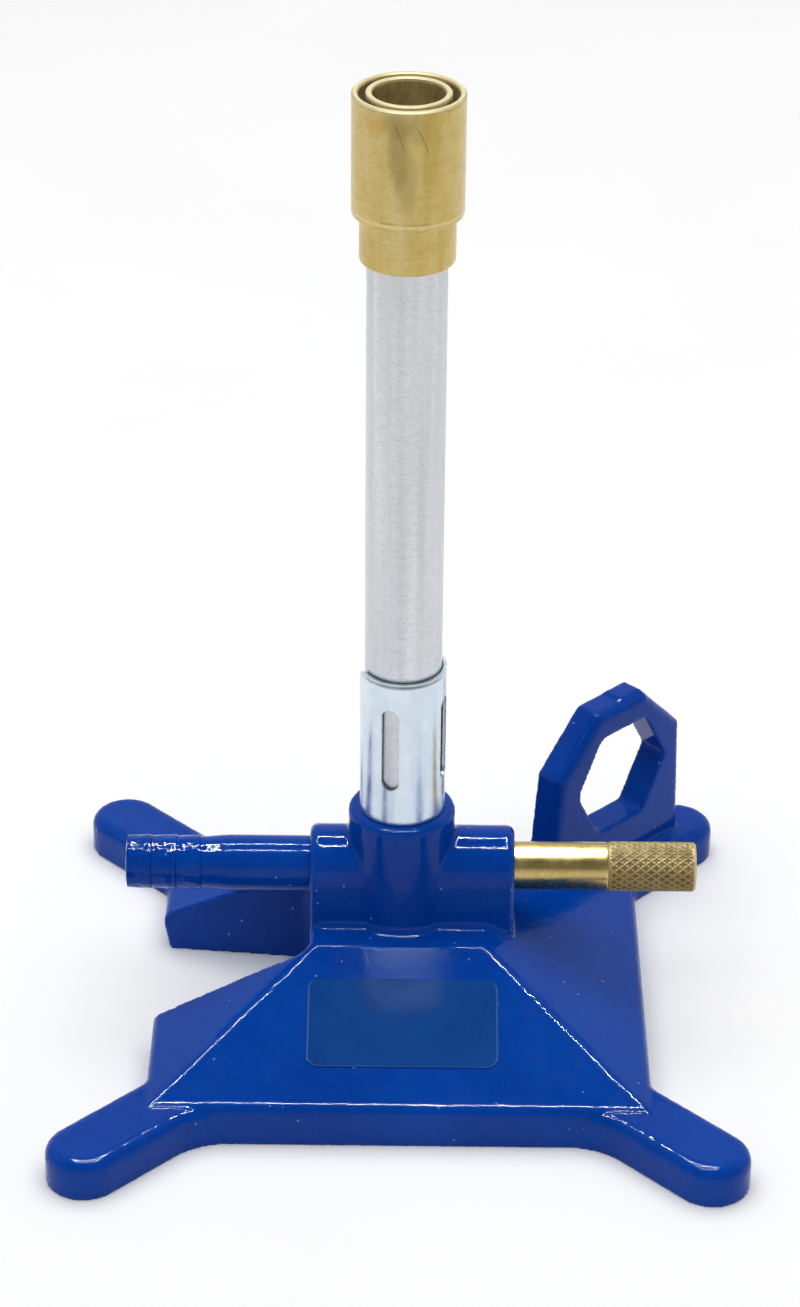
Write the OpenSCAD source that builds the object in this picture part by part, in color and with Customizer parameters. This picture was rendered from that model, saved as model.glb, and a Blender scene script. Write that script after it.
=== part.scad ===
// Laboratory bunsen burner: cast cross-foot base with a gas tee, burner tube,
// rotary air sleeve, flame stabiliser and a side needle valve.
// Origin: under the burner tube's axis on the table plane. +Z up, -Y is the front.

/* [Base] */
// Half width of the base plate, tube axis to side wall
plate_hx = 42.6; // [40:0.1:45]
// Half depth of the base plate, tube axis to front wall
plate_hy = 41.6; // [39:0.1:44]
// Height of the base's outer wall and of the arms
wall_h = 7.1; // [6:0.1:9]
// Height of the platform that the tee stands on
platform_z = 20.6; // [19.5:0.1:22]
// Half width of the platform at the top of the front panel
platform_hx = 14.6; // [13:0.1:16]
// Half depth of the platform, tube axis to top edge of the front panel
platform_hy = 12.4; // [11:0.1:13]
// Distance from the tube axis to an arm's end centre along X
arm_x = 51.7; // [50:0.1:55]
// Distance from the tube axis to an arm's end centre along Y
arm_y = 50.6; // [49:0.1:54]
// Radius of an arm's rounded end
arm_r = 6.5; // [5.5:0.1:7]
// Radius of the rolled top edges
edge_r = 2.2; // [1.2:0.1:2.6]
// Fillet radius where an arm leaves the front or rear wall
fillet_front = 12; // [8:0.5:13]
// Fillet radius where an arm leaves a side wall
fillet_side = 5; // [3:0.5:8]
// Thickness of the casting's walls
cast_t = 3.6; // [3:0.1:4.5]

/* [Hose notch] */
// Distance from the tube axis to the notch's front side at the side wall
front_outer = 14.7; // [14:0.1:18]
// Distance from the tube axis to the notch's front side at its inner end
front_inner = 12.7; // [12.6:0.1:14.5]
// Distance from the tube axis to the notch's rear side at the side wall
rear_outer = 16.3; // [14:0.1:18]
// Distance from the tube axis to the notch's rear side at its inner end
rear_inner = 13.6; // [12.6:0.1:14.5]
// Distance from the tube axis to the notch's inner end
notch_x = 15.8; // [15.8:0.1:17]
// Radius of the notch's inner corners
notch_r = 2.4; // [1:0.1:4]

/* [Handle] */
// Height of the handle ring's flat top
ring_top = 40.6; // [36:0.1:46]
// Distance from the tube axis to the ring's centre along the arm
ring_u = 53.4; // [52:0.1:54]
// Half width of the ring at its upper corners
ring_a = 16; // [14.5:0.1:16.4]
// Half width of the hexagonal finger hole across its flats
hole_a = 10; // [8.5:0.1:10.6]
// Thickness of the ring
ring_t = 6; // [5:0.1:7]
// Radius of the ring's edges on its right face
ring_edge = 1.7; // [0.8:0.1:2.2]

/* [Tee] */
// Height of the gas passage's axis above the table
axis_z = 29.3; // [28.5:0.1:30]
// Radius of the tee's barrel
barrel_r = 6.95; // [6.7:0.05:7.4]
// Left end of the barrel, from the tube axis
barrel_left = 15.8; // [15:0.1:17]
// Right end of the barrel, from the tube axis
barrel_right = 19.5; // [18.5:0.1:21]
// Outer radius of the cup that holds the tube
cup_r = 9.15; // [8.8:0.05:9.6]
// Height of the cup's top face
cup_z = 41.5; // [40.5:0.1:43]

/* [Burner tube] */
// Outer radius of the burner tube
tube_r = 6.5; // [6.3:0.05:6.55]
// Wall thickness of the burner tube
tube_t = 0.8; // [0.6:0.05:1]
// Height of the tube's top end, inside the stabiliser's collar
tube_top = 151.6; // [148:0.1:151.8]

/* [Air sleeve] */
// Outer radius of the rolled sheet sleeve
sleeve_r = 7.33; // [7.25:0.01:7.6]
// Top of the sleeve
sleeve_top = 69.3; // [68:0.1:75]
// Width of an air window
window_w = 3.1; // [2.4:0.1:4]
// Bottom of the windows
window_z0 = 48.5; // [46:0.1:50]
// Top of the windows
window_z1 = 64.2; // [60:0.1:66]
// Turn of the first window from the front
window_a = -16.7; // [-45:0.1:45]

/* [Flame stabiliser] */
// Overall height of the burner
total_z = 171.2; // [168:0.1:180]
// Outer radius of the drum
drum_r = 8.97; // [8.9:0.01:9.4]
// Height of the step under the drum
step_z = 151.15; // [150.6:0.05:151.6]
// Outer radius of the collar
collar_r = 7.7; // [7.5:0.05:8]
// Bottom of the collar
collar_z = 143.3; // [140:0.1:146]
// Bore radius of the drum
drum_bore = 8; // [7.9:0.05:8.2]
// Outer radius of the inner ring
inner_r = 6.77; // [6.6:0.01:6.9]
// Bore radius of the inner ring
inner_bore = 5.8; // [5.5:0.05:6]

/* [Hose barb] */
// Outer end of the barb, from the tube axis
barb_x = 47.5; // [44:0.5:55]
// Radius of the barb's plain shank
barb_r = 4.8; // [4.6:0.05:5]
// Bore radius of the barb
barb_bore = 2.4; // [2:0.1:2.8]

/* [Needle valve] */
// Outer end of the knurled head, from the tube axis
knob_x = 50.9; // [48:0.1:56]
// Start of the knurled head, from the tube axis
knob_x0 = 35.8; // [34:0.1:38]
// Radius over the knurls
knob_r = 4.3; // [4.2:0.05:4.8]
// Radius of the spindle's plain shank
shank_r = 4.16; // [4:0.02:4.3]

/* [Hidden] */
$fn = 96;
front_slope = (platform_z - wall_h) / (plate_hy - platform_hy);
side_slope = (platform_z - wall_h) / (plate_hx - platform_hx);
arm_len = 30;
tube_z0 = 34.6;
sleeve_z0 = cup_z + 0.2;
sleeve_bore = tube_r + 0.08;
window_step = 90;
gap_half = 26.7;
gap_a = window_a - window_step;
shoulder_z = step_z + 2.85;
floor_z = step_z + 1.05;
press = 4;
thread_r = 3;
shank_bore = shank_r + 0.06;
shank_x0 = 8.6;
ring_grooves = [11.2, 14.6];
seat_x = -4;
seat_r = 1.3;
chamber_r = 3.05;
oring_r = 0.56;
oring_mid = shank_bore - 0.01 - oring_r;
groove_r = oring_mid - oring_r - 0.01;
fit_gap = 0.02;
label_w = 32.3;
label_l = 16.9;
label_t = 0.25;
label_y = -26.2;
blue = [0.02, 0.10, 0.46];
brass = [0.78, 0.62, 0.28];

// Points of a quarter circle from angle a0, for rolled edges in a section
function roll(cx, cz, r, a0, n = 5) =
    [for (i = [0 : n]) [cx + r * cos(a0 + 90 * i / n), cz + r * sin(a0 + 90 * i / n)]];

// Roof-shaped section: upright walls, rolled shoulders, slopes and a flat top
module roof(half, top_half, h, top, r) {
    slope = atan((top - h) / (half - top_half));
    e = r * (1 - sin(slope)) / cos(slope);
    shoulder = [for (i = [0 : 4])
        let (a = (90 - slope) * i / 4)
        [half - r + r * cos(a), h - e + r * sin(a)]];
    polygon(concat([[half, 0]], shoulder, [[top_half, top]],
        [[-top_half, top]], [for (i = [4 : -1 : 0]) [-shoulder[i][0], shoulder[i][1]]],
        [[-half, 0]]));
}

// Hipped block: the front-to-back roof cut by the side-to-side roof
module hipped(hx, hy, tx, ty, h, top, r) {
    intersection() {
        translate([-hx - 1, 0, 0])
            rotate([90, 0, 90])
                linear_extrude(2 * hx + 2)
                    roof(hy, ty, h, top, r);
        translate([0, hy + 1, 0])
            rotate([90, 0, 0])
                linear_extrude(2 * hy + 2)
                    roof(hx, tx, h, top, r);
    }
}

// Plan of the hose notch's one side, grown by g, with an inner corner of radius r
function notch_side(outer, inner, g, r) =
    let (k = (outer - inner) / (plate_hx - notch_x), a = atan(k))
    concat([for (i = [0 : 6])
        let (t = (90 - a) * i / 6)
        [g - notch_x - r + r * cos(t), inner + g + r * k - r / cos(a) + r * sin(t)]],
        [[-plate_hx - 4, outer + 4 * k + g]]);

// Plan of the hose notch, grown by g
module notch_plan(g) {
    rear = notch_side(rear_outer, rear_inner, g, notch_r + g);
    front = notch_side(front_outer, front_inner, g, notch_r + g);
    polygon(concat(rear, [for (i = [7 : -1 : 0]) [front[i][0], -front[i][1]]]));
}

// Wedges that ease the foot of the notch's two outer corners
module eased_corners() {
    for (c = [[0, rear_outer], [1, front_outer]])
        mirror([0, c[0], 0])
            translate([-plate_hx, c[1], 5])
                rotate([0, 0, 4])
                    rotate([0, -10.7, 0])
                        translate([-3, -3, -9])
                            cube([3, 20, 12]);
}

// Upright half section of a plate with a rolled top edge
module plate_section(r, h, e) {
    polygon(concat([[0, 0], [r, 0]], roll(r - e, h - e, e, 0), [[0, h]]));
}

// One arm, running from the centre out to a rounded end at the origin
module arm() {
    rotate_extrude()
        plate_section(arm_r, wall_h, edge_r);
    translate([-arm_len, 0, 0])
        rotate([90, 0, 90])
            linear_extrude(arm_len)
                union() {
                    plate_section(arm_r, wall_h, edge_r);
                    mirror([1, 0, 0])
                        plate_section(arm_r, wall_h, edge_r);
                }
}

// Hollow under an arm
module arm_core() {
    translate([0, 0, -1])
        cylinder(r = arm_r - 2.7, h = wall_h - 2.2);
    translate([-arm_len + 4, -arm_r + 2.7, -1])
        cube([arm_len - 4, 2 * arm_r - 5.4, wall_h - 2.2]);
}

// Concave fillet of radius r swept between a wall and an arm, centred on the origin
module web(r, a0) {
    rotate([0, 0, a0])
        rotate_extrude(angle = 45)
            polygon(concat([[r, 0], [r + 7, 0], [r + 7, wall_h], [r + edge_r, wall_h]],
                [for (i = [1 : 5]) [r + edge_r - edge_r * sin(18 * i),
                    wall_h - edge_r + edge_r * cos(18 * i)]]));
}

// Concave fillet of radius r in the corner of a wall and a floor, set 1 mm into both
module cove(r) {
    polygon(concat([[-1, -1], [r, -1]],
        [for (i = [0 : 5]) [r - r * sin(18 * i), r - r * cos(18 * i)]], [[-1, r]]));
}

// Section of a slab that reaches d, its edge rolled by r0 below and r1 above
function slab_section(d, t, r0, r1) = concat([[-60, -t / 2]],
    [for (i = [0 : 4]) [d - r0 + r0 * sin(22.5 * i), r0 - t / 2 - r0 * cos(22.5 * i)]],
    [for (i = [0 : 4]) [d - r1 + r1 * cos(22.5 * i), t / 2 - r1 + r1 * sin(22.5 * i)]],
    [[-60, t / 2]]);

// Solid left where slabs overlap: each side is a direction and its distance from the middle
module crossing(sides, t, r0, r1) {
    intersection_for (side = sides)
        rotate([0, 0, side[0]])
            rotate([90, 0, 0])
                linear_extrude(120, center = true)
                    polygon(slab_section(side[1], t, r0, r1));
}

// Handle ring standing along the rear right arm, with the stub of the casting's gate on top
module handle_ring() {
    mid_z = ring_top - ring_a;
    k = ring_a * tan(22.5);
    draft = [2.4, 6.5];
    sides = [[draft[0], ring_a * cos(draft[0]) + k * sin(draft[0])], [45, ring_a - 0.35],
        [90, ring_a], [135, ring_a - 0.35],
        [180 - draft[1], ring_a * cos(draft[1]) + k * sin(draft[1])]];
    rotate([0, 0, 45])
        translate([ring_u, 0, mid_z])
            rotate([90, 0, 0])
                difference() {
                    union() {
                        crossing(concat(sides, [[270, mid_z - 3]]), ring_t, 0.5, ring_edge);
                        translate([0.6, ring_a - 1, 0.5 - ring_t / 2])
                            cube([5.4, 1.35, ring_t - 2]);
                        for (m = [0, 1])
                            mirror([0, 0, m])
                                translate([1 - ring_a, wall_h - mid_z, ring_t / 2])
                                    rotate([90, 0, 90])
                                        linear_extrude(2 * ring_a - 2)
                                            cove(1.3);
                    }
                    translate([0.35, 1, 0])
                        intersection() {
                            translate([0.15, 0, -ring_t])
                                cylinder(r = hole_a * 1.12, h = 2 * ring_t);
                            linear_extrude(2 * ring_t, center = true)
                                circle(r = hole_a / cos(30), $fn = 6);
                        }
                }
}

// Outer form of the tee: tunnel-shaped barrel and upright cup
module tee_form() {
    len = barrel_left + barrel_right;
    end = 1.3;
    translate([-barrel_left, 0, axis_z])
        rotate([0, 90, 0])
            rotate_extrude()
                polygon(concat([[0, 0]], [for (i = [0 : 5])
                    [barrel_r - end + end * sin(18 * i), end - end * cos(18 * i)]],
                    [for (i = [5 : -1 : 0])
                    [barrel_r - end + end * sin(18 * i), len - end + end * cos(18 * i)]],
                    [[0, len]]));
    translate([-barrel_left, 0, platform_z - 6])
        linear_extrude(axis_z - platform_z + 6)
            polygon(concat(
                [for (i = [5 : -1 : 0])
                    [end - end * cos(18 * i), barrel_r - end + end * sin(18 * i)]],
                [for (i = [0 : 5])
                    [end - end * cos(18 * i), -barrel_r + end - end * sin(18 * i)]],
                [for (i = [5 : -1 : 0])
                    [len - end + end * cos(18 * i), -barrel_r + end - end * sin(18 * i)]],
                [for (i = [0 : 5])
                    [len - end + end * cos(18 * i), barrel_r - end + end * sin(18 * i)]]));
    rotate_extrude()
        polygon([[0, platform_z - 6], [cup_r, platform_z - 6], [cup_r, cup_z - 0.8],
            [cup_r - 0.24, cup_z - 0.24], [cup_r - 0.8, cup_z], [0, cup_z]]);
    tee_foot(1.5);
}

// Fillets of radius r where the tee meets the platform and the slope to its right
module tee_foot(r) {
    for (m = [0, 1])
        mirror([0, m, 0]) {
            translate([2 - barrel_left, barrel_r, platform_z])
                rotate([90, 0, 90])
                    linear_extrude(barrel_left - 2 + platform_hx)
                        cove(r);
            translate([platform_hx, barrel_r, platform_z])
                rotate([0, atan(side_slope), 0])
                    rotate([90, 0, 90])
                        linear_extrude(barrel_right - platform_hx - 1)
                            cove(r);
        }
    rotate_extrude()
        translate([cup_r, platform_z])
            cove(r);
}

// Gas passages, valve bore and tube socket cut through the tee
module tee_bores() {
    translate([0, 0, tube_z0])
        cylinder(r = tube_r + fit_gap, h = 20);
    translate([0, 0, axis_z])
        cylinder(r = 2.5 + fit_gap, h = 20);
    translate([-barrel_left - 1, 0, axis_z])
        rotate([0, 90, 0])
            cylinder(r = press + fit_gap, h = barrel_left + 1 - 7);
    translate([-8, 0, axis_z])
        rotate([0, 90, 0])
            cylinder(r = seat_r, h = 8);
    translate([seat_x, 0, axis_z])
        rotate([0, 90, 0])
            cylinder(r = chamber_r, h = 14);
    translate([shank_x0 - 0.8, 0, axis_z])
        rotate([0, 90, 0])
            cylinder(r = shank_bore, h = 20);
}

// Hollow underside of the base with two stiffening ribs left standing
module underside() {
    difference() {
        translate([0, 0, -1])
            hipped(plate_hx - cast_t, plate_hy - cast_t, platform_hx - 1, platform_hy - 1,
                wall_h - 2.4, platform_z - cast_t, 0.6);
        translate([0, 0, -2])
            linear_extrude(40)
                notch_plan(cast_t);
        for (x = [-12.5, 9.5])
            translate([x, -plate_hy, -2])
                cube([2.6, 2 * plate_hy, 40]);
    }
}

// Cast base: cross-foot plate, hipped body, tee and handle in one piece
module base_casting() {
    color(blue)
        difference() {
            union() {
                difference() {
                    hipped(plate_hx, plate_hy, platform_hx, platform_hy, wall_h, platform_z, edge_r);
                    translate([0, 0, -1])
                        linear_extrude(platform_z + 2)
                            notch_plan(0);
                    eased_corners();
                }
                for (sx = [-1, 1])
                    for (sy = [-1, 1])
                        translate([sx * arm_x, sy * arm_y, 0])
                            rotate([0, 0, atan2(sy, sx)])
                                arm();
                webs();
                handle_ring();
                tee_form();
            }
            for (sx = [-1, 1])
                for (sy = [-1, 1])
                    translate([sx * arm_x, sy * arm_y, 0])
                        rotate([0, 0, atan2(sy, sx)])
                            arm_core();
            underside();
            tee_bores();
        }
}

// The eight fillets between the arms and the walls
module webs() {
    d = arm_r * sqrt(2);
    xf = arm_x - (arm_y + d - plate_hy) - fillet_front * tan(22.5);
    ys = arm_y - (arm_x + d - plate_hx) - fillet_side * tan(22.5);
    for (mx = [0, 1])
        for (my = [0, 1])
            mirror([mx, 0, 0])
                mirror([0, my, 0]) {
                    translate([xf, -plate_hy - fillet_front, 0])
                        web(fillet_front, 45);
                    translate([plate_hx + fillet_side, -ys, 0])
                        web(fillet_side, 180);
                }
}

// Thin bare plate stuck on the sloping front panel
module label_plate() {
    color([0.02, 0.16, 0.38])
        translate([0.5, label_y, wall_h + front_slope * (plate_hy + label_y)])
            rotate([atan(front_slope), 0, 0])
                translate([-label_w / 2, -label_l / 2, 0.01])
                    linear_extrude(label_t)
                        union() {
                            translate([2, 0])
                                square([label_w - 4, label_l]);
                            translate([0, 2])
                                square([label_w, label_l - 4]);
                            for (x = [2, label_w - 2])
                                for (y = [2, label_l - 2])
                                    translate([x, y])
                                        circle(r = 2);
                        }
}

// Barbed gas inlet pressed into the left end of the tee
module hose_barb() {
    color(blue)
        translate([0, 0, axis_z])
            rotate([0, -90, 0])
                rotate_extrude()
                    polygon(concat([[barb_bore, 7.2], [press, 7.2], [press, barrel_left + 0.01],
                        [barb_r, barrel_left + 0.01], [barb_r, barb_x - 18],
                        [barb_r - 0.1, barb_x - 16.4], [barb_r - 0.32, barb_x - 14]],
                        [for (i = [0 : 2])
                            for (p = [[barb_r - 0.36, 12.96], [barb_r - 0.12, 12.84],
                                [barb_r - 0.2, 10.6], [barb_r - 0.3, 8.74]])
                                [p[0], barb_x - p[1] + 4.3 * i]],
                        [[3.9, barb_x], [barb_bore, barb_x]]));
}

// Drilled brass jet screwed into the floor of the cup
module gas_jet() {
    color(brass)
        difference() {
            union() {
                translate([0, 0, axis_z + 2.9])
                    cylinder(r = 2.5, h = 4);
                translate([0, 0, tube_z0 + 0.62])
                    cylinder(r = 4.5, h = 3, $fn = 6);
                translate([0, 0, tube_z0 + 3])
                    cylinder(r = 2.2, h = 5);
                translate([0, 0, tube_z0 + 7.9])
                    cylinder(r1 = 2.2, r2 = 1, h = 2.4);
            }
            translate([0, 0, axis_z])
                cylinder(r = 1.2, h = 14.2);
            translate([0, 0, axis_z + 10])
                cylinder(r = 0.4, h = 12);
        }
}

// Fibre washer under the jet's hexagon
module jet_washer() {
    color([0.45, 0.2, 0.12])
        translate([0, 0, tube_z0 + 0.01])
            difference() {
                cylinder(r = 4.3, h = 0.6);
                translate([0, 0, -1])
                    cylinder(r = 2.52, h = 3);
            }
}

// Upright slot with round ends, cut radially at angle a from the front
module radial_slot(a, w, z0, z1) {
    rotate([0, 0, a - 90])
        rotate([90, 0, 90])
            linear_extrude(12)
                union() {
                    translate([-w / 2, z0 + w / 2])
                        square([w, z1 - z0 - w]);
                    translate([0, z0 + w / 2])
                        circle(r = w / 2, $fn = 32);
                    translate([0, z1 - w / 2])
                        circle(r = w / 2, $fn = 32);
                }
}

// Aluminium burner tube with three air ports above the jet
module burner_tube() {
    color([0.78, 0.79, 0.81])
        difference() {
            translate([0, 0, tube_z0 + 0.02])
                cylinder(r = tube_r, h = tube_top - tube_z0 - 0.02);
            translate([0, 0, tube_z0 - 1])
                cylinder(r = tube_r - tube_t, h = 200);
            for (i = [0 : 2])
                radial_slot(window_a + window_step * (i + 0.5), window_w, window_z0, window_z1);
        }
}

// Open sheet sleeve that turns on the tube to meter the air
module air_sleeve() {
    gap_w = 2 * sleeve_r * sin(gap_half);
    color([0.80, 0.82, 0.84])
        difference() {
            translate([0, 0, sleeve_z0])
                cylinder(r = sleeve_r, h = sleeve_top - sleeve_z0);
            translate([0, 0, sleeve_z0 - 1])
                cylinder(r = sleeve_bore, h = 60);
            for (i = [0 : 2])
                radial_slot(window_a + window_step * i, window_w, window_z0, window_z1);
            rotate([0, 0, gap_a - 90])
                rotate([90, 0, 90])
                    linear_extrude(12)
                        gap_plan(gap_w / 2);
        }
}

// Outline of the sleeve's open seam, widening at both ends round the sheet's corners
module gap_plan(h) {
    c = 1.6;
    n = 4;
    top = [for (i = [0 : n]) [h + c - c * cos(18 * i), sleeve_top - c + c * sin(18 * i)]];
    low = [for (i = [0 : n]) [h + c - c * cos(18 * i), sleeve_z0 + c - c * sin(18 * i)]];
    right = concat([[h + c, sleeve_z0 - 0.3]], [for (i = [n : -1 : 0]) low[i]], top,
        [[h + c, sleeve_top + 0.3]]);
    last = len(right) - 1;
    polygon(concat(right, [for (i = [last : -1 : 0]) [-right[i][0], right[i][1]]]));
}

// Brass drum and collar that push on to the top of the tube
module stabilizer_body() {
    socket = tube_r + fit_gap;
    color(brass)
        rotate_extrude()
            polygon([[socket, collar_z + 0.3], [socket + 0.3, collar_z], [collar_r - 0.35, collar_z],
                [collar_r - 0.1, collar_z + 0.1], [collar_r, collar_z + 0.35], [collar_r, step_z],
                [drum_r - 0.45, step_z], [drum_r - 0.13, step_z + 0.13], [drum_r, step_z + 0.45],
                [drum_r, total_z - 0.25], [drum_r - 0.25, total_z], [drum_bore + 0.2, total_z],
                [drum_bore, total_z - 0.2], [drum_bore, shoulder_z], [drum_bore - 0.4, shoulder_z],
                [drum_bore - 0.4, floor_z], [socket, floor_z]]);
}

// Inner flame ring with a flange drilled for the ring of pilot flames
module stabilizer_ring() {
    color(brass)
        difference() {
            rotate_extrude()
                polygon([[inner_bore, shoulder_z], [drum_bore, shoulder_z],
                    [drum_bore, shoulder_z + 1.2], [inner_r, shoulder_z + 1.2],
                    [inner_r, total_z - 0.15], [inner_r - 0.15, total_z],
                    [inner_bore + 0.15, total_z], [inner_bore, total_z - 0.15]]);
            for (a = [0 : 30 : 330])
                rotate([0, 0, a])
                    translate([7.22, 0, shoulder_z - 1])
                        cylinder(r = 0.35, h = 3, $fn = 24);
        }
}

// Turned brass spindle: knurled head, plain shank with two seal grooves, threaded nose
module valve_spindle() {
    groove = [for (x = ring_grooves) [[shank_r, x - 0.65], [groove_r, x - 0.65],
        [groove_r, x + 0.65], [shank_r, x + 0.65]]];
    color(brass)
        translate([0, 0, axis_z])
            rotate([0, 90, 0])
                rotate_extrude()
                    polygon(concat([[1, 2.4], [thread_r - 0.4, 2.4], [thread_r, 2.8],
                        [thread_r, shank_x0], [shank_r, shank_x0]], groove[0], groove[1],
                        [[shank_r, knob_x0 - 0.2], [shank_r - 0.12, knob_x0 - 0.1],
                        [shank_r - 0.12, knob_x0], [knob_r, knob_x0 + 0.3],
                        [knob_r, knob_x - 0.6], [knob_r - 0.6, knob_x], [0, knob_x],
                        [0, 6.4], [1, 6.4]]));
}

// Hardened needle pressed into the spindle's nose
module valve_needle() {
    color([0.7, 0.71, 0.73])
        translate([0, 0, axis_z])
            rotate([0, 90, 0])
                rotate_extrude()
                    polygon([[0, -6.2], [0.25, -6.2], [seat_r - 0.05, seat_x + 0.1],
                        [seat_r + 0.5, seat_x + 1.4], [seat_r + 0.5, 2.39], [1, 2.39],
                        [1, 6.39], [0, 6.39]]);
}

// Two rubber seals that ride in the spindle's grooves
module valve_orings() {
    color([0.05, 0.05, 0.05])
        for (x = ring_grooves)
            translate([x, 0, axis_z])
                rotate([0, 90, 0])
                    rotate_extrude()
                        translate([oring_mid, 0])
                            circle(r = oring_r, $fn = 32);
}

base_casting();
label_plate();
hose_barb();
gas_jet();
jet_washer();
burner_tube();
air_sleeve();
stabilizer_body();
stabilizer_ring();
valve_spindle();
valve_needle();
valve_orings();
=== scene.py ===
"""Looks for a laboratory bunsen burner: enamelled casting, satin brass, drawn aluminium, zinc-plated sheet.

Everything is in metres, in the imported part's own frame: +Z up, -Y the front, origin under the burner tube.
"""
import math

import bpy
import numpy as np
from mathutils import Matrix, Vector


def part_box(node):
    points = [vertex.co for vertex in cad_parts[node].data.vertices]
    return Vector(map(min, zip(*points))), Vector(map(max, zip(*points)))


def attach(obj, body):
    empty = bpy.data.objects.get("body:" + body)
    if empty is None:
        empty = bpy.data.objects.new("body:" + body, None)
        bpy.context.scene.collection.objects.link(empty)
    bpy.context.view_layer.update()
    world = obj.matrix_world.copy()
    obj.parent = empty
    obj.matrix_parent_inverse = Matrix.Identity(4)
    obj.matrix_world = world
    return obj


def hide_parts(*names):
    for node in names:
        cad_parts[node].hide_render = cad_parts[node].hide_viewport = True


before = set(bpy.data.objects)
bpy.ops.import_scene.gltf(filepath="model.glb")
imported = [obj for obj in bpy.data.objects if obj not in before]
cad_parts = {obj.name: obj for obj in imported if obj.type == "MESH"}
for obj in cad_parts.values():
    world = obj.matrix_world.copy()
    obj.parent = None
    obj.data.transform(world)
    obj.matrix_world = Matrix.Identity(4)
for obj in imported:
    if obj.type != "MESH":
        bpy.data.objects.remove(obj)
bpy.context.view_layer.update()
MM = 0.001

# The photograph's frame is 800 by 1307 pixels. The camera is a pinhole fitted to the tube, drum and feet.
FRAME_W_PX = 800
FOCAL_PX = 3700.9
SENSOR_W_MM = 36.0
CAMERA_AT = Vector((0.48, -537.99, 379.88)) * MM
PITCH, YAW, ROLL = 29.838, -0.113, 0.552

# Casting: mesh size, relaxing passes on all edges and on the hips, and the height of the enamel's lumps.
VOXEL = 0.36 * MM
EDGE_PASSES, HIP_PASSES = 3, 14
LUMP_HEIGHT = 0.05 * MM
LUMP_SEED = 7
# How far a vertex stands out from its neighbours where lumps begin, and where they are full.
FLAT_BEND, EDGE_BEND = 0.004 * MM, 0.010 * MM
# One hip's upper and lower end; the other three are its mirror images.
HIP_TOP = np.array((14.6, 12.4, 20.6)) * MM
HIP_FOOT = np.array((42.6, 41.6, 7.1)) * MM
# How far from its line a hip is eased, and over what distance that fades out.
HIP_REACH, HIP_FADE = 6.0 * MM, 2.5 * MM
# Shares of a hip's length from the top: where its line starts, where easing begins to fade and where it ends.
HIP_START, HIP_FULL, HIP_END = 0.02, 0.78, 0.90
# Radius of the valve's chamber and bore, each with the X where it starts.
VALVE_BORES = ((3.10 * MM, 2.0 * MM), (4.25 * MM, 8.2 * MM))

# The shade on the air sleeve's cut faces reaches out to this radius; the sheet lies between 6.58 and 7.33 mm.
SHADE_R = 6.78 * MM
# The barb's enamel has run towards its end, between these places along X.
RUN_FROM, RUN_TO = -33.4 * MM, -35.8 * MM

# Drum wear in millimetres, with two painted lines at its lower edge. Stains have a middle (X and Z), half
# width, half height, depth and colour.
# Scratches have a middle, slope, bend and half height. The lower edge's line of painted shade and line of
# painted highlight have a bottom and a top.
STAINS = (
    (-1.8, 169.0, 2.8, 2.6, 0.62, (0.29, 0.225, 0.080)),
    (-1.5, 164.0, 1.7, 7.0, 0.68, (0.28, 0.210, 0.068)),
    (-0.3, 159.5, 1.8, 6.0, 0.50, (0.33, 0.245, 0.080)),
    (1.4, 168.2, 2.0, 3.0, 0.50, (0.33, 0.255, 0.095)),
    (-5.2, 168.4, 1.6, 1.9, 0.60, (0.54, 0.33, 0.055)),
    (3.4, 165.0, 1.5, 9.0, 0.60, (0.46, 0.33, 0.070)),
)
SCRATCHES = ((-1.3, 167.0, -0.34, -0.030, 2.4), (2.3, 166.6, -0.42, -0.035, 2.7))
SHADE_LINE, HIGHLIGHT_LINE = (152.50, 152.75), (151.95, 152.40)
# Within this radius and above this height the drum and its ring are smoked.
SMOKED_R, SMOKED_Z = 8.1 * MM, 153 * MM

# Valve: its axis, then the spindle's sizes in millimetres: the radii of its steps and their places along X.
AXIS_Z = 29.3 * MM
SOCKET_R, NOSE_R, RING_R, SHANK_R, NECK_R, HEAD_R = 1.0, 3.0, 3.08, 4.16, 4.02, 4.3
SOCKET_END, NOSE_X, SHANK_X, HEAD_X, END_X = 6.4, 2.4, 8.6, 35.8, 50.9
RING_GROOVES, RING_HALF = (11.2, 14.6), 0.65
# How far the bevels at the nose, the neck and the end of the head reach.
NOSE_BEVEL, NECK_BEVEL, END_BEVEL = 0.4, 0.35, 0.45
# Diamond knurl: mesh points round the spindle, rows along the head, starts, depth and axial pitch.
AROUND, ROWS, STARTS, KNURL_DEPTH, PITCH_X = 560, 157, 20, 0.32, 1.83
CREASE_DEG = 35

# Studio lamps: a frame of four bars that only the gloss shows, and a broad soft lamp for everything matt.
FRAME_LOW, FRAME_HIGH, FRAME_Z = (-0.234, -0.103), (0.189, 0.397), 0.891
BAR_W, BAR_RADIANCE, BAR_COLOUR = 0.02, 240, (0.86, 0.95, 1.0)
SOFT_AT, SOFT_SIZE, SOFT_POWER = (0, 0.10, 1.30), (1.8, 1.8), 21.2
# The floor's half width, its drop below the feet, and where it fades into the white background.
FLOOR_HALF, FLOOR_DROP = 3.0, 0.02 * MM
FADE_FROM, FADE_TO = 0.56, 1.1


# ---------------------------------------------------------------- node materials

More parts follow.
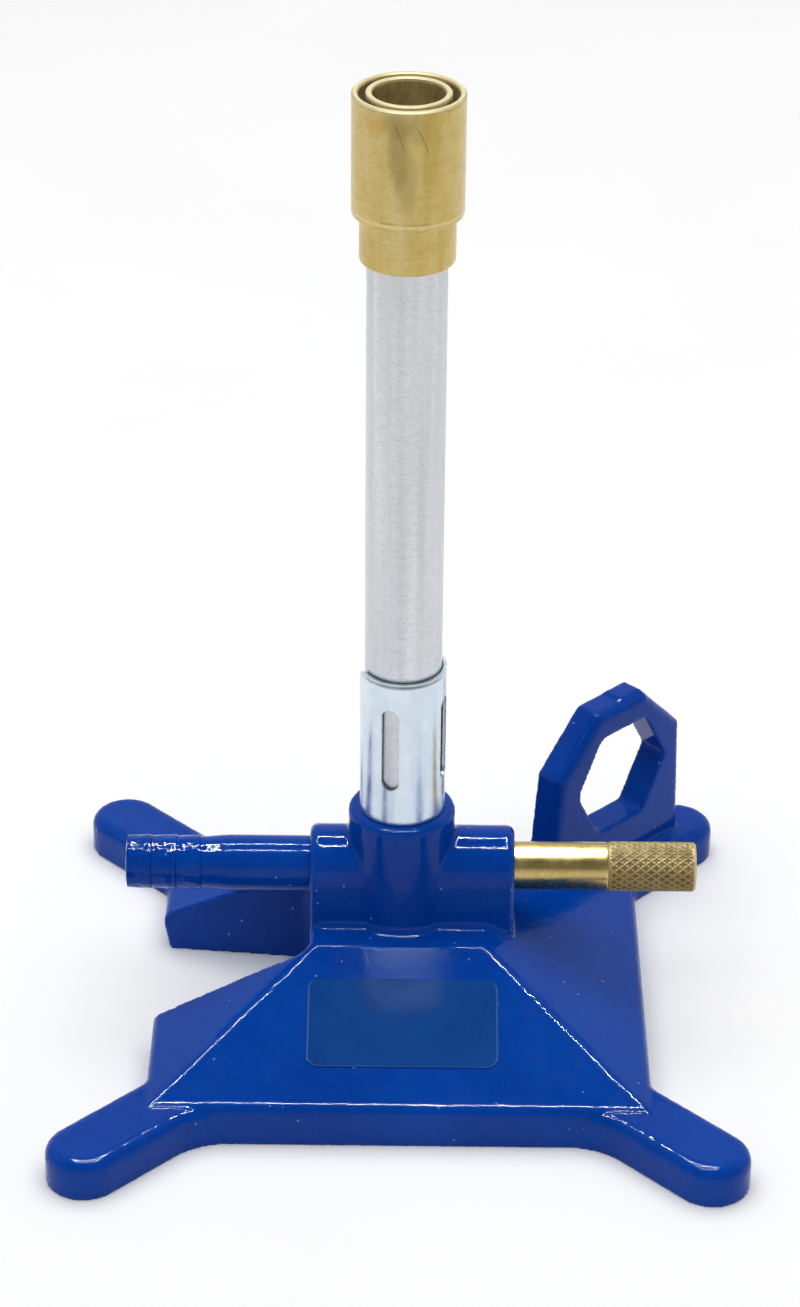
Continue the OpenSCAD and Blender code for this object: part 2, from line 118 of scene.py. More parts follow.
class Nodes:
    """A small helper that adds shader nodes to a tree and wires them."""

    def __init__(self, tree, coord):
        self.tree = tree
        self.tree.nodes.clear()
        self.coord = self.node("ShaderNodeTexCoord").outputs[coord]

    def node(self, kind, **values):
        """Adds a node. Each value goes to the node's setting of that name, or else to its input."""
        n = self.tree.nodes.new(kind)
        for key, value in values.items():
            if hasattr(n, key):
                setattr(n, key, value)
            else:
                n.inputs[key.replace("_", " ")].default_value = value
        return n

    def link(self, a, b):
        self.tree.links.new(a, b)

    def put(self, value, socket):
        """Links a socket to an input, or sets the input to a number or a colour."""
        if hasattr(value, "links"):
            self.link(value, socket)
        elif hasattr(value, "__len__"):
            socket.default_value = (*value, 1)
        else:
            socket.default_value = value

    def scaled(self, sx, sy, sz):
        n = self.node("ShaderNodeMapping", Scale=(sx, sy, sz))
        self.link(self.coord, n.inputs["Vector"])
        return n.outputs["Vector"]

    def noise(self, scale, detail=3.0, rough=0.5, vector=None, distortion=0.0):
        n = self.node("ShaderNodeTexNoise", Scale=scale, Detail=detail, Roughness=rough,
                      Distortion=distortion)
        self.link(vector or self.coord, n.inputs["Vector"])
        return n.outputs["Fac"]

    def flecks(self, scale, radius, channel, above):
        """1 on small spots round scattered points, only those whose random channel is above a level."""
        n = self.node("ShaderNodeTexVoronoi", Scale=scale)
        self.link(self.coord, n.inputs["Vector"])
        picked = self.math("GREATER_THAN", self.xyz(n.outputs["Color"])[channel], above)
        return self.mul(self.math("LESS_THAN", n.outputs["Distance"], radius), picked)

    def ramp(self, fac, *stops):
        """Greys or colours along a socket: stops are (position, value)."""
        n = self.node("ShaderNodeValToRGB")
        ramp = n.color_ramp
        while len(ramp.elements) < len(stops):
            ramp.elements.new(0.5)
        for e, (at, value) in zip(ramp.elements, stops):
            e.position = at
            e.color = (*value, 1) if hasattr(value, "__len__") else (value, value, value, 1)
        self.link(fac, n.inputs["Fac"])
        return n.outputs["Color"]

    def math(self, op, a, b=None):
        n = self.node("ShaderNodeMath", operation=op)
        self.put(a, n.inputs[0])
        if b is not None:
            self.put(b, n.inputs[1])
        return n.outputs["Value"]

    def mul(self, first, *others):
        for other in others:
            first = self.math("MULTIPLY", first, other)
        return first

    def hypot(self, a, b):
        """The distance that two offsets at right angles make."""
        return self.math("SQRT", self.math("ADD", self.mul(a, a), self.mul(b, b)))

    def mix(self, fac, a, b):
        n = self.node("ShaderNodeMix", data_type="RGBA")
        for value, socket in ((fac, n.inputs[0]), (a, n.inputs[6]), (b, n.inputs[7])):
            self.put(value, socket)
        return n.outputs[2]

    def bump(self, height, strength, distance, under=None):
        n = self.node("ShaderNodeBump", Strength=strength, Distance=distance)
        self.link(height, n.inputs["Height"])
        if under is not None:
            self.link(under, n.inputs["Normal"])
        return n.outputs["Normal"]

    def xyz(self, vector=None):
        n = self.node("ShaderNodeSeparateXYZ")
        self.link(vector or self.coord, n.inputs["Vector"])
        return n.outputs["X"], n.outputs["Y"], n.outputs["Z"]

    def step(self, value, low, high):
        """0 below low, 1 above high, eased between; the other way round if low is above high."""
        n = self.node("ShaderNodeMapRange", interpolation_type="SMOOTHSTEP", From_Min=low, From_Max=high)
        self.link(value, n.inputs["Value"])
        return n.outputs["Result"]


class Mat(Nodes):
    """One principled material."""

    def __init__(self, name):
        self.mat = bpy.data.materials.new(name)
        self.mat.use_nodes = True
        super().__init__(self.mat.node_tree, "Object")
        self.out = self.node("ShaderNodeOutputMaterial")
        self.bsdf = self.node("ShaderNodeBsdfPrincipled")
        self.link(self.bsdf.outputs["BSDF"], self.out.inputs["Surface"])

    def set(self, **values):
        for key, value in values.items():
            self.bsdf.inputs[key.replace("_", " ")].default_value = value

    def drive(self, name, socket):
        self.link(socket, self.bsdf.inputs[name])


def enamel(name, lumps):
    """Deep blue enamel over a casting: orange peel, pale dust nibs that are partly painted highlight glints,
    uneven gloss, and lumps where it ran.
    """
    m = Mat(name)
    deep, light = (0.0003, 0.040, 0.300), (0.0008, 0.050, 0.345)
    shade, haze = (0.0002, 0.027, 0.235), (0.003, 0.075, 0.420)
    grit, dust_glint = (0.004, 0.080, 0.440), (0.30, 0.42, 0.75)
    cloud = m.noise(620, 4, 0.7)
    tone = m.ramp(m.noise(45, 3), (0.35, deep), (0.65, light))
    tone = m.mix(m.ramp(cloud, (0.30, 0.30), (0.50, 0.0)), tone, shade)
    tone = m.mix(m.ramp(cloud, (0.52, 0.0), (0.72, 0.22)), tone, haze)
    tone = m.mix(m.ramp(m.noise(2600, 2), (0.45, 0.0), (0.75, 0.16)), tone, grit)
    # Dust nibs painted pale so that they show as small glints: partly dust, partly painted highlight.
    tone = m.mix(m.mul(m.flecks(420, 0.090, 0, 0.78), 0.45), tone, dust_glint)
    m.drive("Base Color", tone)
    m.drive("Roughness", m.ramp(m.noise(300, 3), (0.3, 0.045), (0.7, 0.085)))
    m.set(IOR=1.45, Specular_IOR_Level=0.16)
    peel = m.bump(m.noise(520, 2), 0.25, 0.00012)
    peel = m.bump(m.noise(1500, 2), 0.32, 0.00005, peel)
    if lumps:
        barb_end = m.step(m.xyz()[0], RUN_FROM, RUN_TO)
        peel = m.bump(m.noise(1900, 1), 0.50, 0.00003, peel)
        peel = m.bump(m.mul(m.noise(560, 1, 0.35), barb_end), lumps, 0.0005, peel)
    m.drive("Normal", peel)
    return m.mat


def turned_brass(name, upright):
    """Satin brass turned about Z or X: lathe lines and faint tarnish, and the drum's or the valve's wear,
    with painted shade and painted highlight at the drum's lower edge and painted shade in the knurl.
    """
    m = Mat(name)
    deep, light, pale = (0.55, 0.405, 0.130), (0.62, 0.485, 0.190), (0.66, 0.53, 0.235)
    dull, line, fleck = (0.38, 0.28, 0.095), (0.40, 0.29, 0.10), (0.16, 0.10, 0.04)
    tone = m.ramp(m.noise(130, 4, 0.6, distortion=0.6), (0.32, deep), (0.55, light), (0.8, pale))
    if upright:
        tone = drum_wear_and_edge_light(m, tone)
    lines = m.noise(1.0, 2, 0.6, m.scaled(60, 60, 9000) if upright else m.scaled(9000, 60, 60))
    tone = m.mix(m.ramp(m.noise(1100, 4, 0.7), (0.30, 0.30), (0.55, 0.0)), tone, dull)
    tone = m.mix(m.ramp(lines, (0.35, 0.22), (0.6, 0.0)), tone, line)
    tone = m.mix(m.mul(m.flecks(330, 0.06, 1, 0.8), 0.6), tone, fleck)
    gloss = m.ramp(m.noise(500, 3), (0.3, 0.24), (0.7, 0.32))
    if upright:
        gloss = drum_rim(m, gloss)
    else:
        tone, gloss = knurl_wear_and_shade(m, tone, gloss)
    m.drive("Base Color", tone)
    m.drive("Roughness", gloss)
    m.drive("Normal", m.bump(lines, 0.12, 0.00002))
    return m.mat


def dulled(m, where, gloss, rough, metallic, specular):
    """Makes part of a turned piece less metallic, and returns its roughness there and elsewhere."""
    m.drive("Metallic", m.mix(where, (1.0,) * 3, (metallic,) * 3))
    m.set(Specular_IOR_Level=specular)
    return m.mix(where, gloss, (rough,) * 3)


def knurl_wear_and_shade(m, tone, gloss):
    """The knurled head: duller metal, darker low in the knurl with dirt and painted shade, and a pale bevel
    at its end.
    """
    x, y, z = m.xyz()
    start, end, radius = HEAD_X * MM, END_X * MM, HEAD_R * MM
    reach = m.hypot(y, m.math("SUBTRACT", z, AXIS_Z))
    head = m.step(x, start - 0.2 * MM, start)
    # Dirt and painted shade: the knurl's pits are darkened by how far they sink below the head's radius.
    low = m.mul(m.step(reach, radius - 0.04 * MM, radius - 0.22 * MM), m.step(x, start, start + 0.4 * MM))
    tone = m.mix(head, tone, m.mix(0.70, tone, (0.34, 0.245, 0.100)))
    tone = m.mix(m.mul(low, 0.85), tone, (0.10, 0.072, 0.030))
    tone = m.mix(m.step(x, end - 0.55 * MM, end - 0.35 * MM), tone, (0.66, 0.54, 0.30))
    return tone, dulled(m, head, gloss, 0.42, 0.15, 0.15)


def drum_rim(m, gloss):
    """The drum's machined rim is dull, so that it doesn't mirror the lamps."""
    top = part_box("stabilizer_body")[1].z
    return dulled(m, m.step(m.xyz()[2], top - 0.7 * MM, top - 0.3 * MM), gloss, 0.45, 0.25, 0.20)


def drum_wear_and_edge_light(m, tone):
    """Drum wear: bands down it, dark stains with two scratches, a smoked bore and a pale machined top edge;
    at the lower edge a broken dark line of painted shade and a pale line of painted highlight.
    """
    x, y, z = m.xyz()
    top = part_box("stabilizer_body")[1].z
    band = m.noise(1.0, 3, 0.5, m.scaled(300, 300, 14))
    tone = m.mix(m.ramp(band, (0.30, 0.55), (0.46, 0.0)), tone, (0.66, 0.55, 0.28))
    tone = m.mix(m.ramp(band, (0.56, 0.0), (0.68, 0.60)), tone, (0.56, 0.38, 0.085))
    front = m.math("LESS_THAN", y, -4 * MM)
    for centre_x, centre_z, half_w, half_h, depth, colour in STAINS:
        dx = m.math("DIVIDE", m.math("SUBTRACT", x, centre_x * MM), half_w * MM)
        dz = m.math("DIVIDE", m.math("SUBTRACT", z, centre_z * MM), half_h * MM)
        reach = m.math("ADD", m.mul(dx, dx), m.mul(dz, dz))
        reach = m.math("ADD", reach, m.mul(m.noise(300, 4, 0.6), 0.9))
        tone = m.mix(m.mul(m.step(reach, 1.9, 0.45), front, depth), tone, colour)
    for middle_x, middle_z, slope, bend, half_h in SCRATCHES:
        dz = m.math("DIVIDE", m.math("SUBTRACT", z, middle_z * MM), MM)
        curve = m.math("ADD", m.mul(dz, slope * MM), m.mul(dz, dz, bend * MM))
        gap = m.math("ABSOLUTE", m.math("SUBTRACT", m.math("SUBTRACT", x, middle_x * MM), curve))
        cut = m.mul(m.step(gap, 0.16 * MM, 0.05 * MM), m.step(m.math("ABSOLUTE", dz), half_h, half_h * 0.6))
        tone = m.mix(m.mul(cut, front, 0.6), tone, (0.14, 0.105, 0.05))
    reach = m.hypot(x, y)
    bore = m.mul(m.math("LESS_THAN", reach, SMOKED_R), m.math("GREATER_THAN", z, SMOKED_Z))
    streak = m.noise(1.0, 3, 0.5, m.scaled(380, 380, 20))
    tone = m.mix(bore, tone, m.ramp(streak, (0.3, (0.78, 0.68, 0.46)), (0.7, (0.98, 0.90, 0.66))))
    outside = m.math("GREATER_THAN", reach, 7 * MM)
    broken = m.ramp(m.noise(420, 2), (0.40, 0.3), (0.55, 1.0))
    broken = m.mul(m.step(m.math("ABSOLUTE", x), 5 * MM, 3 * MM), broken)
    # Painted shade and painted highlight at the lower edge: a broken dark line in the gap below the drum, and
    # a pale line where the edge catches the light.
    for (low, high), depth, colour in (
        (SHADE_LINE, m.mul(broken, 0.55), (0.30, 0.215, 0.080)),
        (HIGHLIGHT_LINE, 0.45, (0.86, 0.74, 0.40)),
    ):
        line = m.mul(m.step(z, (low - 0.1) * MM, low * MM), m.step(z, (high + 0.1) * MM, high * MM))
        tone = m.mix(m.mul(line, outside, depth), tone, colour)
    return m.mix(m.step(z, top - 0.6 * MM, top - 0.25 * MM), tone, (0.60, 0.51, 0.29))


def drawn_aluminium():
    """Drawn tube: pale metal with fine pits, faint cross scratches and long soft bands."""
    m = Mat("drawn_aluminium")
    bands = m.noise(1.0, 3, 0.5, m.scaled(420, 420, 12))
    scratch = m.noise(1.0, 3, 0.7, m.scaled(700, 700, 5200), distortion=0.4)
    pits = m.noise(3200, 2, 0.6)
    tone = m.ramp(bands, (0.30, (0.60, 0.61, 0.64)), (0.70, (0.76, 0.77, 0.79)))
    tone = m.mix(m.ramp(scratch, (0.30, 0.35), (0.55, 0.0)), tone, (0.42, 0.43, 0.46))
    tone = m.mix(m.ramp(pits, (0.25, 0.55), (0.42, 0.0)), tone, (0.33, 0.34, 0.36))
    m.drive("Base Color", tone)
    m.set(Metallic=1.0)
    m.drive("Roughness", m.ramp(scratch, (0.3, 0.46), (0.7, 0.34)))
    m.drive("Normal", m.bump(scratch, 0.18, 0.00003, m.bump(pits, 0.12, 0.00002)))
    return m.mat


def zinc_sheet():
    """Bright zinc-plated sheet: bluish white with faint yellow and blue streaks along the roll."""
    m = Mat("zinc_sheet")
    streak = m.noise(1.0, 3, 0.5, m.scaled(500, 500, 30))
    cloud = m.noise(260, 3, 0.6)
    z = m.xyz()[2]
    low, high = (corner.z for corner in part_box("air_sleeve"))
    foot = m.step(z, low + 17 * MM, low + 6 * MM)
    tone = m.ramp(cloud, (0.3, (0.60, 0.69, 0.78)), (0.7, (0.73, 0.81, 0.89)))
    tone = m.mix(m.mul(m.ramp(streak, (0.32, 0.55), (0.48, 0.0)), foot), tone, (0.45, 0.53, 0.66))
    tone = m.mix(m.ramp(streak, (0.62, 0.0), (0.78, 0.16)), tone, (0.64, 0.65, 0.56))
    tone = m.mix(m.flecks(450, 0.05, 2, 0.9), tone, (0.03, 0.03, 0.04))
    tone = m.mix(m.mul(cut_edge(m), 0.92), tone, (0.03, 0.035, 0.045))
    m.drive("Base Color", tone)
    m.set(Metallic=1.0)
    m.drive("Roughness", m.ramp(cloud, (0.3, 0.20), (0.7, 0.32)))
    lip = m.math("POWER", m.step(z, high - 1.3 * MM, high), 1.5)
    bead = m.bump(m.mul(lip, -1.0), 0.9, 0.0004)
    m.drive("Normal", m.bump(m.noise(1500, 2), 0.06, 0.00003, bead))
    return m.mat


def cut_edge(m):
    """1 on the inner part of the sheet's cut faces, which is in shade; 0 on its outside and inside."""
    turn = m.node("ShaderNodeVectorTransform", vector_type="NORMAL", convert_from="WORLD",
                  convert_to="OBJECT")
    m.link(m.node("ShaderNodeNewGeometry").outputs["True Normal"], turn.inputs["Vector"])
    x, y, _ = m.xyz()
    nx, ny, _ = m.xyz(turn.outputs["Vector"])
    reach = m.hypot(x, y)
    out = m.math("ADD", m.mul(x, nx), m.mul(y, ny))
    cut = m.step(m.math("ABSOLUTE", m.math("DIVIDE", out, reach)), 0.75, 0.45)
    return m.mul(cut, m.step(reach, SHADE_R + 0.04 * MM, SHADE_R - 0.04 * MM))


def plain_metal(name, tone, rough):
    """Small inner piece of bare metal with turning marks."""
    m = Mat(name)
    lines = m.noise(1.0, 2, 0.5, m.scaled(6000, 300, 300))
    deep = tuple(c * 0.7 for c in tone)
    m.drive("Base Color", m.ramp(lines, (0.3, deep), (0.7, tone)))
    m.set(Metallic=1.0, Roughness=rough)
    m.drive("Normal", m.bump(lines, 0.2, 0.00002))
    return m.mat


def rubber():
    """Black nitrile with a dusty bloom."""
    m = Mat("nitrile")
    bloom = m.noise(900, 3)
    m.drive("Base Color", m.ramp(bloom, (0.3, 0.012), (0.8, 0.035)))
    m.set(Roughness=0.6)
    m.drive("Normal", m.bump(bloom, 0.2, 0.00003))
    return m.mat


def fibre():
    """Pressed red-brown vulcanised fibre."""
    m = Mat("vulcanised_fibre")
    weave = m.noise(1800, 4, 0.7)
    m.drive("Base Color", m.ramp(weave, (0.3, (0.16, 0.035, 0.02)), (0.75, (0.36, 0.10, 0.05))))
    m.set(Roughness=0.75)
    m.drive("Normal", m.bump(weave, 0.3, 0.00004))
    return m.mat


def label_film():
    """Bare blue film with a thin pale border, printed by distance from the plate's edge."""
    m = Mat("label_film")
    low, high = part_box("label_plate")
    middle, half = (low + high) / 2, (high - low) / 2
    corner, border = 2.0 * MM, 0.30 * MM
    x, y, _ = m.xyz()
    dx = m.math("SUBTRACT", m.math("ABSOLUTE", m.math("SUBTRACT", x, middle.x)), half.x - corner)
    dy = m.math("SUBTRACT", m.math("ABSOLUTE", m.math("SUBTRACT", y, middle.y)), half.y - corner * 0.9)
    reach = m.hypot(m.math("MAXIMUM", dx, 0.0), m.math("MAXIMUM", dy, 0.0))
    edge = m.math("GREATER_THAN", reach, corner - border)
    film = m.ramp(m.noise(120, 3), (0.3, (0.003, 0.044, 0.225)), (0.7, (0.005, 0.056, 0.255)))
    film = m.mix(m.ramp(m.noise(2400, 2), (0.45, 0.0), (0.75, 0.25)), film, (0.012, 0.085, 0.300))
    m.drive("Base Color", m.mix(m.mul(edge, 0.60), film, (0.060, 0.140, 0.370)))
    m.set(IOR=1.45, Specular_IOR_Level=0.11)
    m.drive("Roughness", m.ramp(m.noise(600, 2), (0.3, 0.06), (0.7, 0.11)))
    m.drive("Normal", m.bump(m.noise(900, 2), 0.15, 0.00004))
    return m.mat


def paint(obj, mat):
    obj.data.materials.clear()
    obj.data.materials.append(mat)


# ---------------------------------------------------------------- shapes

def new_object(name, data):
    obj = bpy.data.objects.new(name, data)
    bpy.context.scene.collection.objects.link(obj)
    return obj


def apply_modifiers(obj):
    deps = bpy.context.evaluated_depsgraph_get()
    deps.update()
    mesh = bpy.data.meshes.new_from_object(obj.evaluated_get(deps))
    obj.modifiers.clear()
    obj.data = mesh


def relax(obj, passes, group=""):
    """Smooths a mesh, or only as much of it as a vertex group says."""
    mod = obj.modifiers.new("relax", "SMOOTH")
    mod.factor = 0.5
    mod.iterations = passes
    mod.vertex_group = group
    apply_modifiers(obj)


def vectors(mesh, kind):
    """The positions (co) or normals (normal) of a mesh's vertices, a row each."""
    values = np.empty(len(mesh.vertices) * 3)
    mesh.vertices.foreach_get(kind, values)
    return values.reshape(-1, 3)


def move(mesh, positions):
    mesh.vertices.foreach_set("co", positions.ravel())
    mesh.update()


def enamelled_casting():
    """The casting remeshed and relaxed, so that its edges roll over as a cast, enamelled piece's do."""
    obj = new_object("enamelled_casting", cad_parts["base_casting"].data.copy())
    mod = obj.modifiers.new("remesh", "REMESH")
    mod.mode = "VOXEL"
    mod.voxel_size = VOXEL
    mod.use_smooth_shade = True
    apply_modifiers(obj)
    relax(obj, EDGE_PASSES)
    obj.data.polygons.foreach_set("use_smooth", np.ones(len(obj.data.polygons), bool))
    ease_hips(obj)
    lumpy_edges(obj.data)
    for radius, start in VALVE_BORES:
        clear_bore(obj.data, radius, start)
    return obj


def ease_hips(obj):
    """Rounds the casting's four hips more than its other edges."""
    co = vectors(obj.data, "co")
    weight = np.zeros(len(co))
    for side in ((-1, -1, 1), (-1, 1, 1), (1, -1, 1), (1, 1, 1)):
        top, run = HIP_TOP * side, (HIP_FOOT - HIP_TOP) * side
        along = np.clip((co - top) @ run / (run @ run), HIP_START, 1)
        gap = np.linalg.norm(co - top - along[:, None] * run, axis=1)
        near = np.clip((HIP_REACH - gap) / HIP_FADE, 0, 1)
        high = np.clip((HIP_END - along) / (HIP_END - HIP_FULL), 0, 1)
        weight = np.maximum(weight, near * high)
    weight = np.round(weight, 1)
    group = obj.vertex_groups.new(name="hips")
    for level in np.unique(weight[weight > 0]):
        group.add(np.flatnonzero(weight == level).tolist(), float(level), "REPLACE")
    relax(obj, HIP_PASSES, "hips")
    obj.vertex_groups.clear()


def lumpy_edges(mesh):
    """Gives the rolled-over edges of a fine mesh the small lumps that enamel dries with."""
    n = len(mesh.vertices)
    co, normal = vectors(mesh, "co"), vectors(mesh, "normal")
    ends = np.empty(len(mesh.edges) * 2, int)
    mesh.edges.foreach_get("vertices", ends)
    a, b = ends.reshape(-1, 2).T
    total, count = np.zeros((n, 3)), np.zeros(n)
    for i, j in ((a, b), (b, a)):
        for k in range(3):
            total[:, k] += np.bincount(i, co[j, k], n)
        count += np.bincount(i, minlength=n)
    bend = -np.einsum("ij,ij->i", total / np.maximum(count, 1)[:, None] - co, normal)
    weight = np.clip((bend - FLAT_BEND) / (EDGE_BEND - FLAT_BEND), 0, 1)
    push = np.random.default_rng(LUMP_SEED).normal(0, LUMP_HEIGHT, n)
    push = (push + np.bincount(a, push[b], n) + np.bincount(b, push[a], n)) / (1 + count)
    move(mesh, co + normal * (push * weight)[:, None])


def clear_bore(mesh, radius, start):
    """Opens the relaxed valve bore to a radius past start, clear of the spindle and the seal rings."""
    co = vectors(mesh, "co")
    reach = np.hypot(co[:, 1], co[:, 2] - AXIS_Z)
    tight = (co[:, 0] > start) & (reach < radius)
    grow = radius / reach[tight]
    co[tight, 1] *= grow
    co[tight, 2] = AXIS_Z + (co[tight, 2] - AXIS_Z) * grow
    move(mesh, co)


def spindle_rows():
    """The spindle's profile in millimetres: radius, place along X, and its share of the knurl's depth."""
    profile = [(SOCKET_R, SOCKET_END), (SOCKET_R, NOSE_X), (NOSE_R - NOSE_BEVEL, NOSE_X),
               (NOSE_R, NOSE_X + NOSE_BEVEL), (NOSE_R, SHANK_X), (SHANK_R, SHANK_X)]
    for x in RING_GROOVES:
        left, right = x - RING_HALF, x + RING_HALF
        profile += [(SHANK_R, left), (RING_R, left), (RING_R, right), (SHANK_R, right)]
    profile += [(SHANK_R, HEAD_X - NECK_BEVEL), (SHANK_R - 0.05, HEAD_X - 0.2),
                (SHANK_R - 0.12, HEAD_X - 0.1), (NECK_R, HEAD_X)]
    rows = [(r, x, 0.0) for r, x in profile]
    for x in np.linspace(HEAD_X + 0.06, END_X - 0.04, ROWS):
        full = max(min((x - HEAD_X) / 0.6, (END_X - 0.4 - x) / 0.4, 1.0), 0.0)
        taper = 0.10 * (1 - full) if x < (HEAD_X + END_X) / 2 else 0.0
        bevel = 0.9 * max(x - (END_X - END_BEVEL), 0.0)
        rows.append((HEAD_R - taper - bevel, x, full))
    return rows + [(3.55, END_X, 0.0), (1.6, END_X, 0.0)]


def knurled_spindle():
    """The valve spindle turned from its profile, with a diamond knurl rolled into the head."""
    angle = np.arange(AROUND) * 2 * math.pi / AROUND
    turn = angle * STARTS / (2 * math.pi)
    rows = spindle_rows()
    verts = []
    for r, x, full in rows:
        cell = 0
        for times, share in ((1, 0.68), (2, 0.32)):
            one, two = (np.abs(times * (turn + side * x / PITCH_X) % 1.0 - 0.5) * 2 for side in (1, -1))
            cell = cell + share * (1 - np.maximum(one, two)) ** 0.75
        worn = 0.86 + 0.14 * np.sin(3 * angle + 0.9 * x) * np.cos(2 * angle - 1.3 * x)
        r = r - KNURL_DEPTH * full * cell * worn
        verts.append(np.stack([np.full(AROUND, x), -r * np.sin(angle), r * np.cos(angle)], 1))
    verts = np.concatenate(verts) * MM + (0, 0, AXIS_Z)
    i, j = np.meshgrid(np.arange(len(rows) - 1) * AROUND, np.arange(AROUND), indexing="ij")
    k = (j + 1) % AROUND
    faces = np.stack([i + j, i + k, i + AROUND + k, i + AROUND + j], -1).reshape(-1, 4)
    caps = [list(range(AROUND)), list(range(len(verts) - AROUND, len(verts)))[::-1]]
    mesh = bpy.data.meshes.new("knurled_spindle")
    mesh.from_pydata(verts.tolist(), [], faces.tolist() + caps)
    mesh.validate()
    obj = new_object("knurled_spindle", mesh)
    smooth_by_angle(obj, CREASE_DEG)
    return obj


def smooth_by_angle(obj, degrees):
    """Smooth shading with creases kept sharp."""
    with bpy.context.temp_override(active_object=obj, object=obj, selected_objects=[obj],
                                   selected_editable_objects=[obj]):
        bpy.ops.object.shade_smooth_by_angle(angle=math.radians(degrees))


# ---------------------------------------------------------------- pieces

MATS = {
    "enamel": enamel("blue_enamel", 0.0),
    "enamel_thick": enamel("blue_enamel_thick", 0.60),
    "brass_z": turned_brass("turned_brass_upright", True),
    "brass_x": turned_brass("turned_brass_cross", False),
    "aluminium": drawn_aluminium(),
    "zinc": zinc_sheet(),
    "steel": plain_metal("ground_steel", (0.52, 0.53, 0.55), 0.3),
    "jet": plain_metal("jet_brass", (0.62, 0.44, 0.18), 0.35),
    "rubber": rubber(),
    "fibre": fibre(),
    "label": label_film(),
}

for node, mat in (
    ("base_casting", "enamel"), ("hose_barb", "enamel_thick"), ("label_plate", "label"),
    ("gas_jet", "jet"), ("jet_washer", "fibre"), ("burner_tube", "aluminium"),
    ("air_sleeve", "zinc"), ("stabilizer_body", "brass_z"), ("stabilizer_ring", "brass_z"),
    ("valve_spindle", "brass_x"), ("valve_needle", "steel"), ("valve_orings", "rubber"),
):
    paint(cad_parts[node], MATS[mat])

casting = enamelled_casting()
paint(casting, MATS["enamel"])
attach(casting, "base")
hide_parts("base_casting")

spindle = knurled_spindle()
paint(spindle, MATS["brass_x"])
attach(spindle, "spindle")
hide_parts("valve_spindle")


# ---------------------------------------------------------------- stage

def area_light(name, at, size, power, seen):
    """A lamp pointing down that either shows as a reflection only, or lights softly without one."""
    data = bpy.data.lights.new(name, "AREA")
    data.shape = "RECTANGLE"
    data.size, data.size_y = size
    data.energy = power
    obj = new_object(name, data)
    obj.location = at
    obj.visible_glossy, obj.visible_diffuse = seen, not seen
    return obj


def lamp_frame():
    """Four narrow bars in a rectangle overhead: the studio lamp that the gloss shows."""
    (left, front), (right, rear) = FRAME_LOW, FRAME_HIGH
    mid_x, mid_y = (left + right) / 2, (front + rear) / 2
    across, along = (right - left, BAR_W), (BAR_W, rear - front)
    for name, x, y, size, share in (
        ("bar_front", mid_x, front, across, 1.0),
        ("bar_rear", mid_x, rear, across, 1.4),
        ("bar_left", left, mid_y, along, 1.0),
        ("bar_right", right, mid_y, along, 1.2),
    ):
        power = BAR_RADIANCE * share * math.pi * size[0] * size[1]
        area_light(name, (x, y, FRAME_Z), size, power, True).data.color = BAR_COLOUR


def white_floor():
    """Pale matt sheet that keeps the object's shadow and fades into the white background far out."""
    mesh = bpy.data.meshes.new("floor")
    s = FLOOR_HALF
    mesh.from_pydata([(-s, -s, 0), (s, -s, 0), (s, s, 0), (-s, s, 0)], [], [(0, 1, 2, 3)])
    obj = new_object("floor", mesh)
    obj.location.z = -FLOOR_DROP
    m = Mat("pale_floor")
    m.drive("Base Color", m.ramp(m.noise(9, 4), (0.3, 0.91), (0.7, 0.94)))
    m.set(Roughness=0.9, Specular_IOR_Level=0.1)
    x, y, _ = m.xyz()
    fade = m.node("ShaderNodeMixShader")
    m.link(m.step(m.hypot(x, y), FADE_FROM, FADE_TO), fade.inputs[0])
    m.link(m.bsdf.outputs["BSDF"], fade.inputs[1])
    m.link(m.node("ShaderNodeBsdfTransparent").outputs["BSDF"], fade.inputs[2])
    m.link(fade.outputs["Shader"], m.out.inputs["Surface"])
    paint(obj, m.mat)


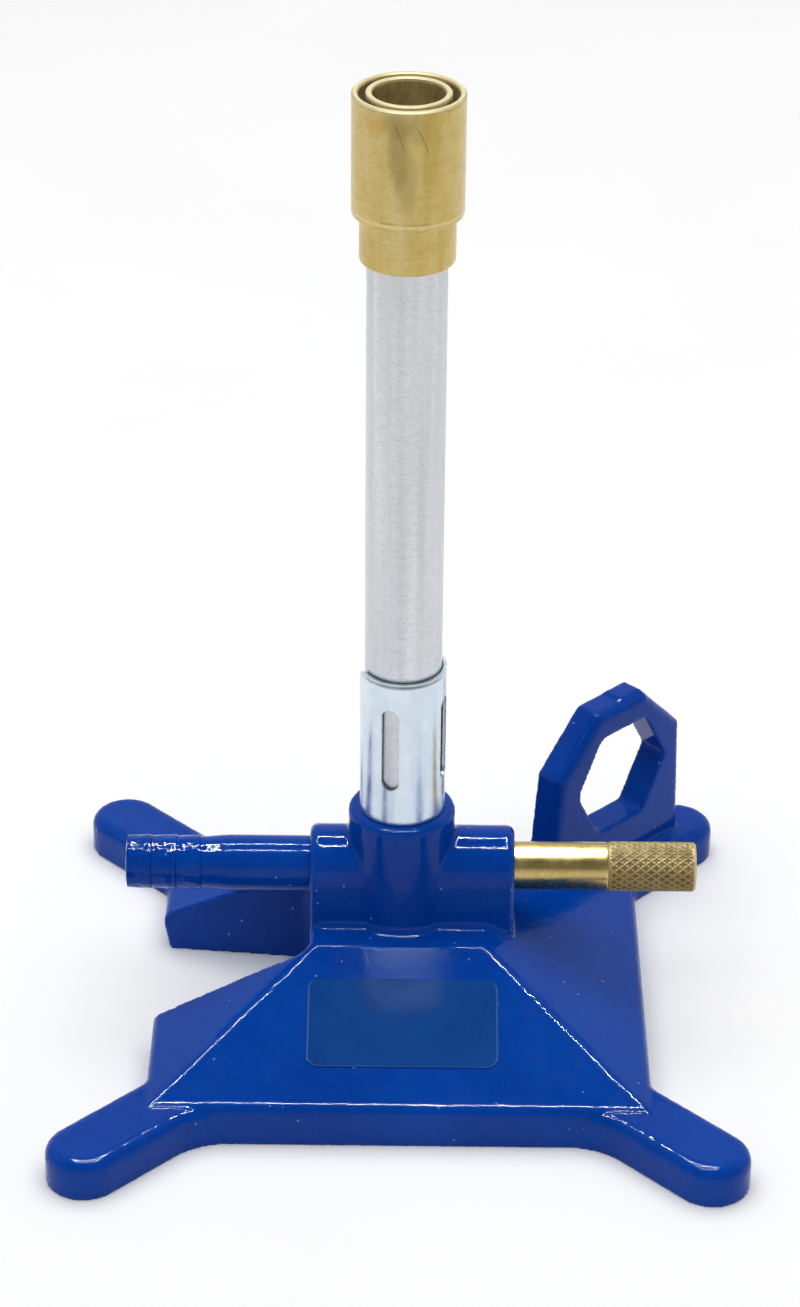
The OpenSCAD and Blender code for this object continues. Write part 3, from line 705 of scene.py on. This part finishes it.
def studio_world():
    """White to the camera, even light to matt surfaces, pale walls behind a dim front in reflections."""
    world = bpy.data.worlds.new("studio")
    bpy.context.scene.world = world
    world.use_nodes = True
    w = Nodes(world.node_tree, "Generated")
    out = w.node("ShaderNodeOutputWorld")
    back = w.node("ShaderNodeBackground", Color=(1, 1, 1, 1))
    # How bright the walls are in reflections, the rest of the sphere, and the even light on matt surfaces.
    low_wall, high_wall, front_wall, front_foot, rest, even = 0.264, 0.336, 0.16, 0.52, 0.032, 0.304
    _, y, z = w.xyz()
    walls = w.math("ADD", w.mul(w.step(z, 0.80, 0.62), low_wall), w.mul(w.step(z, 0.94, 0.88), high_wall))
    rear = w.mul(w.step(y, -0.12, 0.15), walls)
    ahead = w.step(y, 0.10, -0.20)
    front = w.math("ADD", w.mul(w.step(z, 0.80, 0.60), front_wall), w.mul(w.step(z, 0.26, 0.12), front_foot))
    glossy = w.math("ADD", w.math("ADD", rear, w.mul(ahead, front)), rest)
    path = w.node("ShaderNodeLightPath")
    seen = w.math("MAXIMUM", path.outputs["Is Camera Ray"], path.outputs["Is Transmission Ray"])
    glossy = w.mul(glossy, path.outputs["Is Glossy Ray"])
    matt = w.mul(path.outputs["Is Diffuse Ray"], even)
    w.link(w.math("MAXIMUM", seen, w.math("MAXIMUM", glossy, matt)), back.inputs["Strength"])
    w.link(back.outputs["Background"], out.inputs["Surface"])


def photo_camera():
    """Camera at the photograph's place: pitched down, almost square on to the front."""
    pitch, yaw, roll = (math.radians(a) for a in (PITCH, YAW, ROLL))
    up, level = math.sin(pitch), math.cos(pitch)
    look = Matrix(((1, 0, 0), (0, -up, -level), (0, level, -up)))
    right, down, ahead = Matrix.Rotation(roll, 3, "Z") @ look @ Matrix.Rotation(yaw, 3, "Z")
    data = bpy.data.cameras.new("camera")
    data.sensor_fit = "HORIZONTAL"
    data.sensor_width = SENSOR_W_MM
    data.lens = SENSOR_W_MM * FOCAL_PX / FRAME_W_PX
    data.clip_start, data.clip_end = 0.01, 20.0
    cam = new_object("camera", data)
    basis = Matrix((right, -down, -ahead)).transposed().to_4x4()
    cam.matrix_world = Matrix.Translation(CAMERA_AT) @ basis
    bpy.context.scene.camera = cam


white_floor()
studio_world()
photo_camera()
lamp_frame()
area_light("soft_top", SOFT_AT, SOFT_SIZE, SOFT_POWER, False)
bpy.context.scene.view_settings.view_transform = "Standard"
